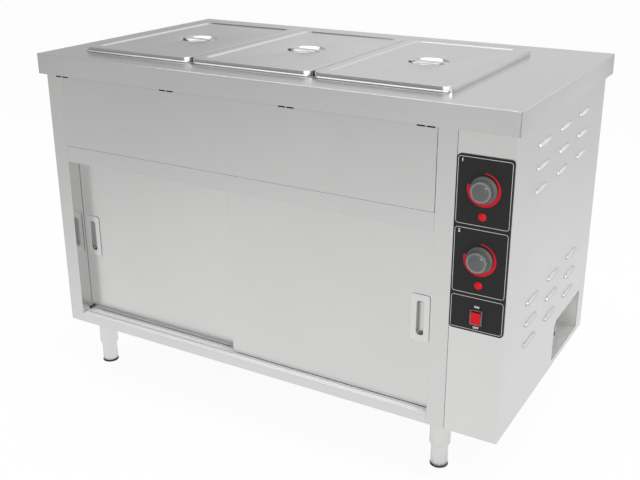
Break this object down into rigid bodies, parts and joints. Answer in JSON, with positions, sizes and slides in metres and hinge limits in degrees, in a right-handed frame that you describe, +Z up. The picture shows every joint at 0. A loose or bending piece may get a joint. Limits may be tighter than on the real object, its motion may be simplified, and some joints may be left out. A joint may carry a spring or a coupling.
{
  "type": "bain marie",
  "caption": "Free-standing stainless bain marie with lidded pans in a water well, a heated cupboard with sliding doors, and a control box with thermostat knobs.",
  "frame": {"origin": "on the floor, under the middle of the counter measured over the worktop and the knobs", "axes": "+X along the counter towards the control box, +Y from the front to the back, +Z up"},
  "size_m": [1.26, 0.728, 0.903],
  "materials": {
    "brushed_steel": "satin stainless steel, fine brushed grain",
    "bright_steel": "bright polished stainless steel",
    "galvanised_steel": "dull zinc-coated sheet",
    "valve_nickel": "satin nickel-plated brass",
    "heater_sheath": "dark oxidised heater sheath",
    "plate_black": "matt dark grey overlay on a steel plate",
    "knob_grey": "satin dark grey moulding",
    "signal_red": "translucent red lens",
    "roller_nylon": "natural nylon"
  },
  "bodies": {
    "counter": {"worktop": "brushed_steel", "pan_bar_1": "brushed_steel", "pan_bar_2": "brushed_steel", "water_tank": "brushed_steel", "tank_heater": "heater_sheath", "drain_pipe": "bright_steel", "drain_recess": "galvanised_steel", "drain_valve": "valve_nickel", "side_panel_left": "brushed_steel", "back_panel": "brushed_steel", "cabinet_floor": "brushed_steel", "partition": "galvanised_steel", "stile_left": "brushed_steel", "stile_right": "brushed_steel", "apron_panel": "brushed_steel", "header_rail": "brushed_steel", "bottom_rail": "brushed_steel", "top_track": "galvanised_steel", "cupboard_ceiling": "brushed_steel", "cupboard_shelf": "brushed_steel", "cupboard_heater": "heater_sheath", "heater_cover": "brushed_steel", "side_panel_louvred": "brushed_steel", "box_casing": "brushed_steel", "control_plate": "plate_black", "thermostat_top": "galvanised_steel", "lamp_top": "signal_red", "thermostat_bottom": "galvanised_steel", "lamp_bottom": "signal_red", "switch_housing": "knob_grey", "cable_gland": "knob_grey", "leg_front_left": "brushed_steel", "leg_front_right": "brushed_steel", "leg_back_left": "brushed_steel", "leg_back_right": "brushed_steel"},
    "door_left": {"door_left": "brushed_steel", "door_left_cup": "bright_steel"},
    "door_left_roller_a": {"door_left_roller_a": "roller_nylon"},
    "door_left_roller_b": {"door_left_roller_b": "roller_nylon"},
    "door_right": {"door_right": "brushed_steel", "door_right_cup": "bright_steel"},
    "door_right_roller_a": {"door_right_roller_a": "roller_nylon"},
    "door_right_roller_b": {"door_right_roller_b": "roller_nylon"},
    "pan_1": {"pan_1": "brushed_steel"},
    "lid_1": {"lid_1": "brushed_steel", "lid_handle_1": "bright_steel"},
    "pan_2": {"pan_2": "brushed_steel"},
    "lid_2": {"lid_2": "brushed_steel", "lid_handle_2": "bright_steel"},
    "pan_3": {"pan_3": "brushed_steel"},
    "lid_3": {"lid_3": "brushed_steel", "lid_handle_3": "bright_steel"},
    "knob_top": {"knob_top": "knob_grey"},
    "knob_bottom": {"knob_bottom": "knob_grey"},
    "switch_rocker": {"switch_rocker": "signal_red"},
    "drain_lever": {"drain_lever": "bright_steel"},
    "foot_front_left": {"foot_front_left": "bright_steel"},
    "foot_front_right": {"foot_front_right": "bright_steel"},
    "foot_back_left": {"foot_back_left": "bright_steel"},
    "foot_back_right": {"foot_back_right": "bright_steel"}
  },
  "joints": [
    {"name": "door_left_slide", "type": "slide", "parent": "counter", "child": "door_left", "axis": [1, 0, 0], "range_m": [0, 0.489]},
    {"name": "door_left_roller_a_turn", "type": "hinge", "parent": "door_left", "child": "door_left_roller_a", "pos_m": [-0.5089, -0.29655, 0.6433], "axis": [0, 1, 0], "range_deg": [-5, 3510]},
    {"name": "door_left_roller_b_turn", "type": "hinge", "parent": "door_left", "child": "door_left_roller_b", "pos_m": [-0.09325, -0.29655, 0.6433], "axis": [0, 1, 0], "range_deg": [-5, 3510]},
    {"name": "door_right_slide", "type": "slide", "parent": "counter", "child": "door_right", "axis": [-1, 0, 0], "range_m": [0, 0.489]},
    {"name": "door_right_roller_a_turn", "type": "hinge", "parent": "door_right", "child": "door_right_roller_a", "pos_m": [-0.01825, -0.31555, 0.6433], "axis": [0, 1, 0], "range_deg": [-3510, 5]},
    {"name": "door_right_roller_b_turn", "type": "hinge", "parent": "door_right", "child": "door_right_roller_b", "pos_m": [0.3974, -0.31555, 0.6433], "axis": [0, 1, 0], "range_deg": [-3510, 5]},
    {"name": "pan_1_lift", "type": "slide", "parent": "counter", "child": "pan_1", "axis": [0, 0, 1], "range_m": [0, 0.2]},
    {"name": "lid_1_lift", "type": "slide", "parent": "pan_1", "child": "lid_1", "axis": [0, 0, 1], "range_m": [0, 0.15]},
    {"name": "pan_2_lift", "type": "slide", "parent": "counter", "child": "pan_2", "axis": [0, 0, 1], "range_m": [0, 0.2]},
    {"name": "lid_2_lift", "type": "slide", "parent": "pan_2", "child": "lid_2", "axis": [0, 0, 1], "range_m": [0, 0.15]},
    {"name": "pan_3_lift", "type": "slide", "parent": "counter", "child": "pan_3", "axis": [0, 0, 1], "range_m": [0, 0.2]},
    {"name": "lid_3_lift", "type": "slide", "parent": "pan_3", "child": "lid_3", "axis": [0, 0, 1], "range_m": [0, 0.15]},
    {"name": "knob_top_turn", "type": "hinge", "parent": "counter", "child": "knob_top", "pos_m": [0.56175, -0.34495, 0.7257], "axis": [0, 1, 0], "range_deg": [-60, 235]},
    {"name": "knob_bottom_turn", "type": "hinge", "parent": "counter", "child": "knob_bottom", "pos_m": [0.56175, -0.34495, 0.5765], "axis": [0, 1, 0], "range_deg": [-60, 235]},
    {"name": "switch_rocker_tilt", "type": "hinge", "parent": "counter", "child": "switch_rocker", "pos_m": [0.56175, -0.34415, 0.4476], "axis": [-1, 0, 0], "range_deg": [0, 18]},
    {"name": "drain_lever_turn", "type": "hinge", "parent": "counter", "child": "drain_lever", "pos_m": [0.5863, 0.10545, 0.2453], "axis": [0, 0, -1], "range_deg": [0, 90]},
    {"name": "foot_front_left_screw", "type": "slide", "parent": "counter", "child": "foot_front_left", "axis": [0, 0, -1], "range_m": [0, 0.02]},
    {"name": "foot_front_right_screw", "type": "slide", "parent": "counter", "child": "foot_front_right", "axis": [0, 0, -1], "range_m": [0, 0.02]},
    {"name": "foot_back_left_screw", "type": "slide", "parent": "counter", "child": "foot_back_left", "axis": [0, 0, -1], "range_m": [0, 0.02]},
    {"name": "foot_back_right_screw", "type": "slide", "parent": "counter", "child": "foot_back_right", "axis": [0, 0, -1], "range_m": [0, 0.02]}
  ],
  "couplings": [
    {"joint": "door_left_roller_a_turn", "follows": "door_left_slide", "rad_per_m": 125},
    {"joint": "door_left_roller_b_turn", "follows": "door_left_slide", "rad_per_m": 125},
    {"joint": "door_right_roller_a_turn", "follows": "door_right_slide", "rad_per_m": -125},
    {"joint": "door_right_roller_b_turn", "follows": "door_right_slide", "rad_per_m": -125}
  ]
}
